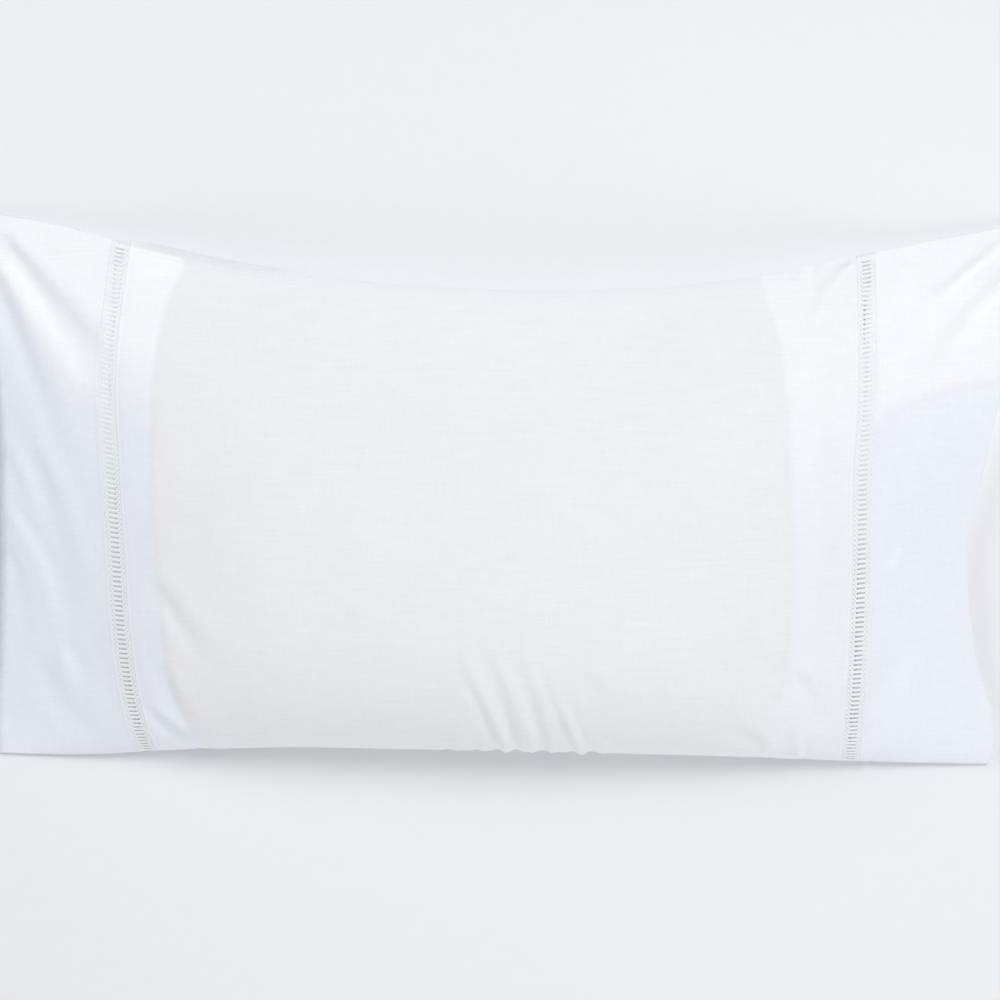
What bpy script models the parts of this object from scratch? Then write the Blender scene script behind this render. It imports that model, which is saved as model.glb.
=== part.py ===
"""A king-size cotton pillowcase with a ladder-lace band let in near each end, filled by a standard pillow.

It lies on its back, its face up. +X runs along its length and +Y towards its upper long edge.
The origin is on the surface it lies on, under the middle of its bounding box. Lengths are in metres.

A place on the case has two coordinates. "along" is the distance from the middle of the case, measured
where nothing is drawn in. "across" runs from -1 at the lower long edge to 1 at the upper one.
"""
import bmesh
import bpy
import numpy as np
from mathutils import Vector

MM = 0.001

# The cloth and its seams.
CLOTH = 1.2 * MM            # a cuff is made of two plies of cotton, turned over at the hem
EDGE_SEAM = 5 * MM          # how far the long edges are sewn together
END_SEAM = 6 * MM           # the same at the closed end
SEWING_GAP = 0.3 * MM       # between a lace band and the cloth it is sewn to
WELD = 0.01 * MM

# The two lace bands. The real ladder has a rung every 5 mm, and the solid has every second one.
LACE_WIDTH = 18 * MM
LADDER_WIDTH = 10 * MM      # length of a rung between the two headings
RUNG_PITCH = 5 * MM
SOLID_PITCH = 2 * RUNG_PITCH
SLOT_SHARE = 0.5            # of the pitch, the rest being the rung
SEAM_MARGIN = 9 * MM        # of plain lace at each long edge

LEFT_END, LEFT_LACE, RIGHT_LACE, RIGHT_END = -0.490, -0.3625, 0.3545, 0.470

# How far each upright line of the case is bowed out of the straight, in mm along +X.
BOW_ACROSS = (-1.0, -0.9, -0.55, -0.2, 0.15, 0.45, 1.0)
LEFT_LACE_BOW = (22, 15, 4, -0.5, -5, -9, 0.5)
RIGHT_LACE_BOW = (-1.5, -2.5, -1.5, 0, 0.5, 5, 8.5)
BOW_LINES = (
    # along                        lower edge ............. upper edge
    (LEFT_END,                     (-11, -10, -3, 1, 1.5, -3, -15)),
    (LEFT_LACE - LACE_WIDTH / 2,   LEFT_LACE_BOW),
    (LEFT_LACE + LACE_WIDTH / 2,   LEFT_LACE_BOW),
    (0.0,                          (0, 0, 0, 0, 0, 0, 0)),
    (RIGHT_LACE - LACE_WIDTH / 2,  RIGHT_LACE_BOW),
    (RIGHT_LACE + LACE_WIDTH / 2,  RIGHT_LACE_BOW),
    (RIGHT_END,                    (23, 27, 4, -5, 13, 28, 35)),
)

# The two long edges, in mm. The filling draws them in, the upper one most.
UPPER_EDGE_X = (-507, -434, -336, -238, -140, -42, 56, 154, 252, 350, 448, 507)
UPPER_EDGE_Y = (275, 263, 238, 217, 207, 200, 197, 200, 210, 230, 249, 260)
LOWER_EDGE_X = (-501, -434, -386, -336, -228, -190, -92, 105, 203, 301, 350, 448, 495)
LOWER_EDGE_Y = (-262, -263, -262, -258, -253, -252, -253, -257, -260, -265, -268, -272, -273)

# Heights in mm: of the two long edges over the surface, and of the crown over the line joining them.
HEIGHTS = (
    # name            along       upper edge  lower edge  crown
    ("left end",      LEFT_END,       2.5,        2.5,       1.5),
    ("left cuff",     -0.440,         8,          6,        26),
    ("left lace",     LEFT_LACE,     17,         12,        62),
    ("pillow, left",  -0.320,        26,         18,        83),
    ("left half",     -0.190,        38,         26,       106),
    ("middle",        0.0,           42,         30,       114),
    ("right half",    0.180,         38,         28,       107),
    ("pillow, right", 0.300,         28,         20,        86),
    ("right lace",    RIGHT_LACE,    18,         13,        65),
    ("right cuff",    0.420,          9,          7,        40),
    ("right end",     RIGHT_END,      5,          4,        21),
)
CROWN_ACROSS = -0.12        # the filling has sunk a little towards the lower edge
UPPER_ARCH = (2.2, 0.78)    # powers of the arch: the upper side thins out to its seam
LOWER_ARCH = (2.7, 0.60)    # and the lower side is round
FLAT_ACROSS = 0.62          # the back lies flat between these two places across

# Creases and ridges of the face, in mm. Each is held at its start and dies away to its end.
FOLDS = (
    # name                        start         middle        end          width  height
    ("left corner, outer",        (-470, 260),  (-431, 211),  (-395, 143),   9,   -4.5),
    ("left corner, ridge",        (-478, 250),  (-435, 165),  (-387, 97),    9,    3.5),
    ("left corner, inner",        (-486, 231),  (-458, 160),  (-398, 31),    7.5, -5.0),
    ("left cuff, high",           (-429, 128),  (-411, 97),   (-394, 65),    7,   -2.0),
    ("left cuff, long",           (-447, 39),   (-416, -22),  (-401, -124), 10,   -3.5),
    ("left cuff, ridge",          (-442, -47),  (-428, -97),  (-422, -143),  8,    2.5),
    ("left cuff, end",            (-482, 22),   (-476, -19),  (-445, -95),   7,   -2.5),
    ("left cuff, low",            (-434, -168), (-426, -202), (-422, -230),  9,   -2.5),
    ("left cuff, lowest",         (-392, -213), (-377, -234), (-361, -251),  8,   -2.5),
    ("pillow end, trough",        (-327, -78),  (-299, -119), (-261, -158),  8,   -3.0),
    ("pillow end, ridge",         (-295, -96),  (-279, -116), (-261, -141),  8,    2.2),
    ("lower left, soft",          (-311, -180), (-296, -207), (-259, -236),  8,   -3.0),
    ("lower left, ridge",         (-335, -206), (-307, -221), (-285, -239),  6,    3.0),
    ("lower left, crease",        (-337, -214), (-311, -233), (-275, -254),  5,   -3.5),
    ("lower middle, first dip",   (-29, -172),  (-12, -204),  (0, -228),     6,   -2.2),
    ("lower middle, first",       (19, -253),   (7, -222),    (-6, -194),    6,    2.8),
    ("lower middle, second dip",  (-4, -145),   (10, -176),   (23, -205),    6,   -2.4),
    ("lower middle, second",      (45, -250),   (32, -215),   (12, -155),    6,    2.8),
    ("lower middle, third dip",   (22, -150),   (41, -188),   (77, -222),    7,   -2.4),
    ("lower middle, third",       (92, -254),   (73, -239),   (56, -217),    6,    2.6),
    ("lower middle, short",       (-4, -251),   (-13, -237),  (-24, -222),   6,    1.8),
    ("lower middle, fourth dip",  (51, -125),   (62, -146),   (76, -168),    7,   -1.4),
    ("lower middle, last dip",    (91, -172),   (103, -194),  (115, -218),   7,   -1.2),
    ("lower right, soft",         (273, -161),  (252, -146),  (222, -109),   9,   -1.8),
    ("lower right, dip",          (330, -255),  (322, -213),  (292, -187),   7,   -2.6),
    ("lower right, ridge",        (313, -258),  (309, -236),  (297, -212),   7,    2.0),
    ("upper right, dip",          (346, 229),   (325, 202),   (300, 151),    7,   -2.2),
    ("right corner, first",       (499, 247),   (447, 205),   (395, 175),    8,   -2.6),
    ("right corner, ridge",       (499, 237),   (459, 195),   (420, 152),    8,    2.2),
    ("right corner, second",      (497, 225),   (473, 180),   (440, 136),    8,   -3.0),
    ("right cuff, sweep",         (497, 102),   (424, 87),    (386, 60),    12,   -2.6),
    ("right cuff, low",           (398, -66),   (409, -114),  (423, -182),  10,   -1.8),
)
FOLD_STEPS = 8              # straight pieces that a fold's curve is measured along
FOLD_ROOM = 6 * MM          # a fold is at half its height where the case bulges by this much

# Rows and columns of the meshes. The creased stretches of the body have finer cells.
BODY_STRETCHES = ((-0.250, 8 * MM), (-0.040, 26 * MM), (0.120, 9 * MM), (0.220, 25 * MM), (1.0, 10 * MM))
LOWER_ROWS, UPPER_ROWS = 16, 16     # on the two sides of
LOWER_STRIP = 0.36 * np.pi          # this angle, out of pi from edge to edge
CUFF_STEP = 9.5 * MM
CUFF_ROWS = 32
PLAIN_BACK_ROWS = 14
EVENNESS = 0.5                      # of a cuff's rows, which otherwise crowd towards the edges
FLAT_ANGLE = 0.002                  # faces that lie in one plane, to this many radians, become one

FRONT, BACK = 1, -1
OUTER, INNER = 0, 1


def smooth(at, knots, values):
    """A curve through the knots that doesn't swing past them. values is one per knot, or a row of them."""
    at = np.asarray(at, float)
    knots = np.asarray(knots, float)
    values = np.asarray(values, float)
    values = np.broadcast_to(values.reshape(len(knots), -1), (len(knots), at.size))
    rise = np.diff(values, axis=0) / np.diff(knots)[:, None]
    same_way = rise[:-1] * rise[1:] > 0
    total = np.where(same_way, rise[:-1] + rise[1:], 1.0)
    slope = np.vstack([rise[:1], np.where(same_way, 2 * rise[:-1] * rise[1:] / total, 0.0), rise[-1:]])
    i = np.clip(np.searchsorted(knots, at) - 1, 0, len(knots) - 2)
    column = np.arange(at.size)
    gap = knots[i + 1] - knots[i]
    t = np.clip((at - knots[i]) / gap, 0, 1)
    return (
        (1 + 2 * t) * (1 - t) ** 2 * values[i, column]
        + t * (1 - t) ** 2 * gap * slope[i, column]
        + t * t * (3 - 2 * t) * values[i + 1, column]
        + t * t * (t - 1) * gap * slope[i + 1, column]
    )


def bowed(along, across):
    """The x of a place on the case: its place along, moved by the bow of the upright line it is on."""
    lines = [smooth(across, BOW_ACROSS, bows) for _, bows in BOW_LINES]
    return along + MM * smooth(along, [line[0] for line in BOW_LINES], np.array(lines))


def height(along, column):
    """One column of the table of heights, at a place along: 2 upper edge, 3 lower edge, 4 crown."""
    return MM * smooth(along, [row[1] for row in HEIGHTS], [row[column] for row in HEIGHTS])


def plan(along, across):
    """x and y of a place on the case, seen from above."""
    upper = MM * smooth(bowed(along, np.ones_like(across)) / MM, UPPER_EDGE_X, UPPER_EDGE_Y)
    lower = MM * smooth(bowed(along, -np.ones_like(across)) / MM, LOWER_EDGE_X, LOWER_EDGE_Y)
    return bowed(along, across), lower + (upper - lower) * (across + 1) / 2


def arch(across):
    """The shape of the face from edge to edge, 1 at its crown and 0 at both edges."""
    above = across > CROWN_ACROSS
    reach = np.where(above, 1 - CROWN_ACROSS, 1 + CROWN_ACROSS)
    out = np.clip(np.abs(across - CROWN_ACROSS) / reach, 0, 1)
    upper = (1 - out ** UPPER_ARCH[0]) ** UPPER_ARCH[1]
    lower = (1 - out ** LOWER_ARCH[0]) ** LOWER_ARCH[1]
    return np.where(above, upper, lower)


def fold_height(x, y):
    """What the creases and ridges add to the face at x, y."""
    total = np.zeros_like(x)
    steps = np.linspace(0, 1, FOLD_STEPS + 1)
    for _, start, middle, end, width, rise in FOLDS:
        start, middle, end = (MM * np.array(p, float) for p in (start, middle, end))
        # A quadratic curve that passes through the middle point.
        handle = 2 * middle - (start + end) / 2
        curve = [(1 - t) ** 2 * start + 2 * t * (1 - t) * handle + t * t * end for t in steps]
        nearest = np.full_like(x, np.inf)
        run = np.zeros_like(x)
        for i, (a, b) in enumerate(zip(curve[:-1], curve[1:])):
            share = np.clip(((x - a[0]) * (b - a)[0] + (y - a[1]) * (b - a)[1]) / ((b - a) @ (b - a)), 0, 1)
            off = (x - a[0] - share * (b - a)[0]) ** 2 + (y - a[1] - share * (b - a)[1]) ** 2
            run = np.where(off < nearest, (i + share) / FOLD_STEPS, run)
            nearest = np.minimum(nearest, off)
        spread = MM * width * (0.7 + 0.6 * run)
        strength = np.clip(run / 0.1 + 0.4, 0, 1) * (1 - run ** 2) ** 1.5
        total += MM * rise * strength * np.exp(-nearest / spread ** 2)
    return total


def case_surface(along, across, face):
    """Points of the outside of the case, one for each place. face is FRONT or BACK, or one for each."""
    along, across = np.broadcast_arrays(np.asarray(along, float), np.asarray(across, float))
    x, y = plan(along, across)
    share = (across + 1) / 2
    edge = height(along, 3) * (1 - share) + height(along, 2) * share
    bulge = height(along, 4) * arch(across)
    front = edge + bulge + fold_height(x, y) * bulge / (bulge + FOLD_ROOM)
    under = np.clip((np.abs(across) - FLAT_ACROSS) / (1 - FLAT_ACROSS), 0, 1)
    back = edge * (1 - np.sqrt(1 - under ** 2))
    return np.column_stack([x, y, np.where(np.asarray(face) > 0, front, back)])


def lining(along, across, face):
    """The same for the inside of a sheet that follows the case, which stops short of the sewn edges."""
    half = (plan(along, np.ones_like(across))[1] - plan(along, -np.ones_like(across))[1]) / 2
    at_seam = np.abs(across) > 1 - 1e-9
    across = across * (1 - EDGE_SEAM / half)
    front = case_surface(along, across, FRONT)
    back = case_surface(along, across, BACK)
    middle = (front[:, 2] + back[:, 2]) / 2
    room = np.maximum((front[:, 2] - back[:, 2]) / 2 - CLOTH, 0.15 * MM)
    front[:, 2] = middle + np.where(at_seam, 0, room) * face
    return front


def stretches(start, end, parts):
    """Places from start to end. Each part has where it ends and about how far apart its places are."""
    places = [start]
    for stop, step in parts:
        stop = min(stop, end)
        count = max(1, round((stop - places[-1]) / step))
        places += list(np.linspace(places[-1], stop, count + 1)[1:])
    return places


def around(front_rows, back_rows):
    """Places round the case from the lower edge, over the face to the upper edge and back underneath."""
    rows = []
    for face, count in ((FRONT, front_rows), (BACK, back_rows)):
        part = np.linspace(0, 1, count + 1)[:-1]
        places = EVENNESS * (2 * part - 1) - (1 - EVENNESS) * np.cos(np.pi * part)
        rows += [(face * place, face) for place in places]
    return rows + [(-1.0, BACK)]


def ladder_rows(along):
    """The same places for a lace band: a slot and a rung by turns, evenly spaced along the cloth."""
    rows = [(-1.0, FRONT)]
    fine = np.linspace(-1, 1, 800)
    for face in (FRONT, BACK):
        points = case_surface(np.full_like(fine, along), fine, face)
        run = np.concatenate([[0], np.cumsum(np.linalg.norm(np.diff(points, axis=0), axis=1))])
        slots = int((run[-1] - 2 * SEAM_MARGIN) / SOLID_PITCH)
        pitch = (run[-1] - 2 * SEAM_MARGIN) / slots
        places = []
        for i in range(slots):
            slot = SEAM_MARGIN + (i + (1 - SLOT_SHARE) / 2) * pitch
            places += [slot, slot + SLOT_SHARE * pitch]
        found = list(np.interp(places, run, fine))
        rows += [(a, face) for a in (found if face == FRONT else found[::-1])]
        rows.append((1.0, BACK) if face == FRONT else (-1.0, BACK))
    return rows


def two_layers(columns, rows, is_hole=None):
    """A grid of cells with a second layer and walls, each vertex at (column, row, layer)."""
    bm = bmesh.new()
    bmesh.ops.create_grid(bm, x_segments=columns, y_segments=rows, size=1)
    for vert in bm.verts:
        vert.co = Vector(((vert.co.x + 1) / 2 * columns, (vert.co.y + 1) / 2 * rows, OUTER))
    if is_hole:
        holes = [f for f in bm.faces if is_hole(*(int(c) for c in f.calc_center_median()[:2]))]
        bmesh.ops.delete(bm, geom=holes, context="FACES")
    made = bmesh.ops.extrude_face_region(bm, geom=bm.faces[:])
    for vert in made["geom"]:
        if isinstance(vert, bmesh.types.BMVert):
            vert.co.z = INNER
    return bm


def indices(bm):
    """(column, row, layer) of every vertex, as three arrays of whole numbers."""
    return np.rint(np.array([v.co for v in bm.verts])).astype(int).T


def finish(bm, name, points, material):
    """Puts the vertices in place, closes the mesh and makes it an object."""
    for vert, point in zip(bm.verts, points):
        vert.co = point
    bmesh.ops.remove_doubles(bm, verts=bm.verts[:], dist=WELD)
    bmesh.ops.triangulate(bm, faces=bm.faces[:])
    bmesh.ops.recalc_face_normals(bm, faces=bm.faces[:])
    bmesh.ops.dissolve_limit(bm, angle_limit=FLAT_ANGLE, verts=bm.verts[:], edges=bm.edges[:])
    bmesh.ops.triangulate(bm, faces=bm.faces[:])
    mesh = bpy.data.meshes.new(name)
    bm.to_mesh(mesh)
    bm.free()
    mesh.shade_smooth()
    mesh.materials.append(material)
    obj = bpy.data.objects.new(name, mesh)
    bpy.context.scene.collection.objects.link(obj)
    return obj


def filled_body(name, alongs, material):
    """The middle of the case with the pillow in it: one closed form between the two lace bands."""
    lower = np.linspace(0, LOWER_STRIP, LOWER_ROWS + 1)
    upper = np.linspace(LOWER_STRIP, np.pi, UPPER_ROWS + 1)[1:]
    bm = two_layers(len(alongs) - 1, LOWER_ROWS + UPPER_ROWS)
    column, row, layer = indices(bm)
    along = np.array(alongs)[column]
    across = -np.cos(np.concatenate([lower, upper]))[row]
    points = case_surface(along, across, np.where(layer == OUTER, FRONT, BACK))
    return finish(bm, name, points, material)


def hollow_band(name, alongs, rows, material, is_hole=None, closed_column=None):
    """A sheet that runs right round the case. closed_column is the end whose two sides are sewn together."""
    bm = two_layers(len(alongs) - 1, len(rows) - 1, is_hole)
    column, row, layer = indices(bm)
    joins = [
        f for f in bm.faces
        if {v.co.y for v in f.verts} in ({0.0}, {float(len(rows) - 1)})
        or {v.co.x for v in f.verts} == {closed_column}
    ]
    bmesh.ops.delete(bm, geom=joins, context="FACES_ONLY")
    along = np.array(alongs)[column]
    across = np.array([r[0] for r in rows])[row]
    face = np.array([r[1] for r in rows])[row]
    pinched = column == (-1 if closed_column is None else closed_column)
    inward = np.where(pinched & (layer == INNER), END_SEAM, 0.0)
    is_outer = (layer == OUTER)[:, None]
    points = np.where(is_outer, case_surface(along, across, face), lining(along + inward, across, face))
    facing = np.where(is_outer, case_surface(along, across, -face), lining(along + inward, across, -face))
    points[pinched, 2] = ((points + facing) / 2)[pinched, 2]
    return finish(bm, name, points, material)


def lace_band(name, along, material):
    """A ladder-lace band: its rungs cross the middle, between two plain headings."""
    rows = ladder_rows(along)
    half, ladder = LACE_WIDTH / 2 - SEWING_GAP, LADDER_WIDTH / 2
    seams = [i for i, row in enumerate(rows) if abs(row[0]) == 1]

    def is_hole(column, row):
        """A slot lies in the middle column, from each odd row to the next, but not at a long edge."""
        first = max(seam for seam in seams if seam <= row)
        return column == 1 and row > first and (row - first) % 2 == 1 and row + 1 not in seams

    return hollow_band(name, [along - half, along - ladder, along + ladder, along + half], rows,
                       material, is_hole)


def cotton(name, red, green, blue, roughness):
    material = bpy.data.materials.new(name)
    material.use_nodes = True
    shader = material.node_tree.nodes["Principled BSDF"]
    shader.inputs["Base Color"].default_value = (red, green, blue, 1)
    shader.inputs["Roughness"].default_value = roughness
    shader.inputs["Metallic"].default_value = 0
    material.diffuse_color = (red, green, blue, 1)
    return material


def main():
    for obj in list(bpy.data.objects):
        bpy.data.objects.remove(obj)
    body_cotton = cotton("body_cotton", 0.86, 0.86, 0.87, 0.85)
    cuff_cotton = cotton("cuff_cotton", 0.88, 0.90, 0.94, 0.85)
    lace_cotton = cotton("lace_cotton", 0.90, 0.91, 0.93, 0.80)
    half = LACE_WIDTH / 2
    filled_body("body", stretches(LEFT_LACE + half, RIGHT_LACE - half, BODY_STRETCHES), body_cotton)
    lace_band("lace_left", LEFT_LACE, lace_cotton)
    lace_band("lace_right", RIGHT_LACE, lace_cotton)
    left = stretches(LEFT_END, LEFT_LACE - half, ((LEFT_END + 2 * END_SEAM, 1), (1.0, CUFF_STEP)))
    hollow_band("cuff_left", left, around(CUFF_ROWS, CUFF_ROWS), cuff_cotton, closed_column=0)
    right = stretches(RIGHT_LACE + half, RIGHT_END, ((1.0, CUFF_STEP),))
    hollow_band("cuff_right", right, around(CUFF_ROWS, PLAIN_BACK_ROWS), cuff_cotton)


main()
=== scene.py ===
"""The looks of a king-size cotton pillowcase with ladder lace, over a bed pillow.

The case lies on its back with its face up. +X runs along its length towards the open end, +Y towards its
upper long edge. Lengths are in metres unless a comment says mm. A place on the case has two coordinates.
"along" is the distance from the middle, as it would be if nothing were drawn in. "across" runs from -1 at
the lower long edge to 1 at the upper one.
"""
import math

import bmesh
import bpy
import numpy as np
from bpy.props import FloatProperty, FloatVectorProperty, IntProperty, PointerProperty
from mathutils import Matrix, Vector, noise


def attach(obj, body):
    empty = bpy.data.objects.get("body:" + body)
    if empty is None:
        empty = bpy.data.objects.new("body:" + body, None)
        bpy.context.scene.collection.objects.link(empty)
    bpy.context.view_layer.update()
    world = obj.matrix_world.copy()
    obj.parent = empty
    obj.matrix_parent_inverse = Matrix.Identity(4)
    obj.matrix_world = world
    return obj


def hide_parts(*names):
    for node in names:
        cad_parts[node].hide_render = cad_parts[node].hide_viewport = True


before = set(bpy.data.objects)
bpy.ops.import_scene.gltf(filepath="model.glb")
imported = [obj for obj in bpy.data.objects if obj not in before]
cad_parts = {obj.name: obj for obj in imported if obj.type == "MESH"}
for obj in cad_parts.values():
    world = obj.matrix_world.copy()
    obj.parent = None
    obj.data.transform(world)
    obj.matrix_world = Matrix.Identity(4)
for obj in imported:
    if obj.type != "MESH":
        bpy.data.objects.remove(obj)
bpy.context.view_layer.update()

bl_info = {
    "name": "Ladder-lace pillowcase",
    "version": (1, 0, 0),
    "blender": (4, 5, 0),
    "location": "3D View > Sidebar > Pillowcase",
    "description": "Builds a filled cotton pillowcase with two bands of ladder lace",
    "category": "Object",
}

MM = 0.001

# The case has the outline, bows and heights of the solids. Its long edges are sewn together over less than
# theirs, so that the lace's slots are open there.
EDGE_SEAM = 2 * MM
END_SEAM = 6 * MM           # how far the closed end is sewn together
LACE_WIDTH = 18 * MM
LEFT_END, LEFT_LACE, RIGHT_LACE, RIGHT_END = -0.490, -0.3625, 0.3545, 0.470     # places along

# How far each upright line of the case is bowed out of the straight, in mm along +X, at each place across.
BOW_ACROSS = (-1.0, -0.9, -0.55, -0.2, 0.15, 0.45, 1.0)
LEFT_LACE_BOW = (22, 15, 4, -0.5, -5, -9, 0.5)
RIGHT_LACE_BOW = (-1.5, -2.5, -1.5, 0, 0.5, 5, 8.5)
BOW_LINES = (
    (LEFT_END, (-11, -10, -3, 1, 1.5, -3, -15)),
    (LEFT_LACE - LACE_WIDTH / 2, LEFT_LACE_BOW),
    (LEFT_LACE + LACE_WIDTH / 2, LEFT_LACE_BOW),
    (0.0, (0, 0, 0, 0, 0, 0, 0)),
    (RIGHT_LACE - LACE_WIDTH / 2, RIGHT_LACE_BOW),
    (RIGHT_LACE + LACE_WIDTH / 2, RIGHT_LACE_BOW),
    (RIGHT_END, (23, 27, 4, -5, 13, 28, 35)),
)

# The two long edges, in mm. The filling draws them in, the upper one most.
UPPER_EDGE_X = (-507, -434, -336, -238, -140, -42, 56, 154, 252, 350, 448, 507)
UPPER_EDGE_Y = (275, 263, 238, 217, 207, 200, 197, 200, 210, 230, 249, 260)
LOWER_EDGE_X = (-501, -434, -386, -336, -228, -190, -92, 105, 203, 301, 350, 448, 495)
LOWER_EDGE_Y = (-262, -263, -262, -258, -253, -252, -253, -257, -260, -265, -268, -272, -273)

# A place along, then the heights in mm of the upper edge, the lower edge and the crown over the line that
# joins them.
HEIGHTS = (
    (LEFT_END, 2.5, 2.5, 1.5),
    (-0.440, 8, 6, 26),
    (LEFT_LACE, 17, 12, 62),
    (-0.320, 26, 18, 83),
    (-0.190, 38, 26, 106),
    (0.0, 42, 30, 114),
    (0.180, 38, 28, 107),
    (0.300, 28, 20, 86),
    (RIGHT_LACE, 18, 13, 65),
    (0.420, 9, 7, 40),
    (RIGHT_END, 5, 4, 21),
)
CROWN_ACROSS = -0.12        # the filling has sunk a little towards the lower edge
UPPER_ARCH = (2.2, 0.78)    # powers of the arch: the upper side thins out to its seam
LOWER_ARCH = (2.7, 0.60)    # and the lower side is round
FLAT_ACROSS = 0.62          # the back lies flat up to this far across, on both sides
EDGE_ZONE = 0.93            # past this far across, a fold moves the edge as well
EDGE_PULL = 0.4             # the share of its height by which a crease draws the edge in there

# Folds of the face: start, middle, end, width and rise, in mm. A crease has a negative rise and a ridge a
# positive one, and each dies away to its end.
FOLDS = (
    # The closed cuff, from its upper corner down.
    ((-477, 247), (-426, 192), (-346, 114), 15, -7.0),
    ((-480, 234), (-434, 165), (-366, 78), 12, 6.0),
    ((-491, 222), (-448, 132), (-395, 12), 13, -4.8),
    ((-461, 66), (-419, -21), (-398, -127), 15, -4.2),
    ((-485, 54), (-470, 23), (-449, -27), 8, -3.0),
    ((-491, -9), (-480, -21), (-474, -53), 6, -2.5),
    ((-470, -23), (-433, -85), (-422, -144), 12, 3.0),
    ((-480, -49), (-461, -92), (-454, -146), 10, -3.0),
    ((-445, -145), (-420, -200), (-380, -251), 18, -3.2),
    ((-424, -144), (-412, -168), (-401, -193), 11, 2.0),
    # The pillow's lower left corner, and the cotton drawn from the lace to the edge below it.
    ((-322, -70), (-296, -112), (-258, -165), 16, -4.0),
    ((-318, -96), (-298, -132), (-270, -176), 10, 1.6),
    ((-316, -150), (-300, -200), (-262, -244), 12, -2.8),
    ((-337, -200), (-308, -232), (-262, -264), 9, -4.4),
    # The puckers in the middle of the lower edge.
    ((9, -260), (-8, -202), (-40, -134), 6, -3.4),
    ((19, -262), (4, -205), (-26, -142), 5.5, 2.6),
    ((28, -261), (13, -190), (-12, -124), 6, -3.4),
    ((43, -262), (29, -197), (0, -132), 5.5, 3.0),
    ((55, -260), (42, -196), (18, -124), 6, -3.4),
    ((82, -258), (62, -194), (34, -130), 6.5, -3.4),
    ((93, -260), (73, -212), (42, -150), 6, 4.0),
    ((84, -150), (105, -181), (124, -210), 14, -1.6),
    ((99, -226), (113, -233), (128, -241), 6, -1.8),
    ((-40, -261), (-40, -248), (-41, -230), 6, -2.0),
    ((-12, -260), (-13, -247), (-15, -231), 5, -2.4),
    ((103, -263), (102, -248), (98, -233), 6, -2.4),
    # The pillow's lower right corner, and the cotton beside it.
    ((286, -182), (250, -134), (196, -66), 16, -3.8),
    ((268, -250), (247, -228), (218, -208), 12, -3.2),
    ((284, -160), (313, -192), (338, -256), 12, -5.5),
    ((303, -262), (301, -225), (303, -190), 8, 3.0),
    # Below the upper edge, beside the right lace.
    ((350, 226), (320, 202), (292, 160), 11, -7.0),
    ((298, 228), (294, 212), (286, 188), 7, -3.2),
    ((322, 234), (313, 214), (300, 192), 5, 3.0),
    ((322, 194), (304, 168), (286, 136), 12, -3.6),
    # The open cuff, from its upper corner down.
    ((496, 248), (450, 212), (384, 168), 10, -7.0),
    ((498, 236), (455, 198), (400, 146), 10, 5.0),
    ((495, 207), (460, 173), (418, 118), 12, -6.0),
    ((495, 107), (432, 99), (372, 73), 12, -4.4),
    ((399, -48), (387, -62), (369, -86), 10, 2.7),
    ((422, -143), (393, -192), (381, -249), 20, -3.6),
    ((372, -273), (376, -259), (386, -246), 5, -2.2),
    # Along the pillow's left end, and beside it.
    ((-294, 229), (-307, 204), (-315, 155), 6, 2.0),
    ((-217, 206), (-231, 187), (-241, 165), 9, 1.8),
)
FOLD_STEPS = 8              # straight pieces that a fold's curve is measured along
FOLD_ROOM = 2 * MM          # a ridge is at half its height where the case bulges by this much
FOLD_DEPTH = 0.7            # share of the bulge that a crease can sink
HIGH_SIDE = (0.45, 0.89)    # the higher side of a crease is the one that lies more this way
STEP_SHARE = 0.75           # how much of a crease is a step, and not a groove
STEP_SLOPE = 2.2            # how steep that step is, for a fold as wide as it is high
FOLD_FADE = 1.1             # the power with which a fold dies away
LEAST_DEPTH = 0.01 * MM     # how far a crease can sink where the case has no bulge
EDGE_ROOM = 6 * MM          # the edge follows half of a fold's height where it stands this high
RELIEF_ROOM = 1 * MM        # small waves are at half their height where the case bulges by this much

# A fold's width is one share of the given one at its start, and gains the other to its end.
FOLD_SPREAD, FOLD_WIDENING = 0.7, 0.6

# A fold that starts past these places is held by an edge or an end. It starts with a share of its rise and
# gains the rest at once. Any other grows out of the face over a share of its run.
HELD_X, HELD_LOWER_Y, HELD_UPPER_Y = 0.465, -0.24, 0.2
HELD_START, HELD_RUN = 0.4, 0.1
FREE_RUN = 0.3

# Waves of noise that make the cotton uneven: their rise, about how many there are in a metre both ways,
# and their place in the noise. The small ones rise in mm, and the long ones in shares of a given rise.
SMALL_WAVES = ((0.9, 9, 7, 0.3), (0.3, 34, 22, 5.1), (0.12, 70, 90, 9.4))
LONG_WAVES = ((1.0, 6, 42, 2.7), (0.5, 12, 90, 8.2))
SETTLED = 25 * MM           # the lace holds the cotton flat beside it, and no longer past this distance

# The cotton's step down over the pillow's end, and its sag from there to the lace.
STEP_DOWN, STEP_LENGTH = 0.9 * MM, 1.6 * MM
SAG, SAG_MIDDLE, SAG_REACH = 0.8 * MM, 16 * MM, 11 * MM

# The whipping beside the rolled edge: how far past the roll it is, its width and how far it sinks in.
WHIPPING_PAST, WHIPPING_WIDTH, WHIPPING_SINK = 0.6 * MM, 0.7 * MM, 0.1 * MM

# Where the pillow's two ends show through the cotton: x for each y, in mm.
PILLOW_END_Y = (-262, -237, -205, -183, -130, -58, 11, 90, 149, 188, 218)
PILLOW_LEFT_X = (-270, -288, -302, -308, -316, -321, -324, -324, -319, -312, -300)
PILLOW_RIGHT_X = (269, 271, 275, 279, 283, 284, 283, 280, 275, 265, 258)

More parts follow.
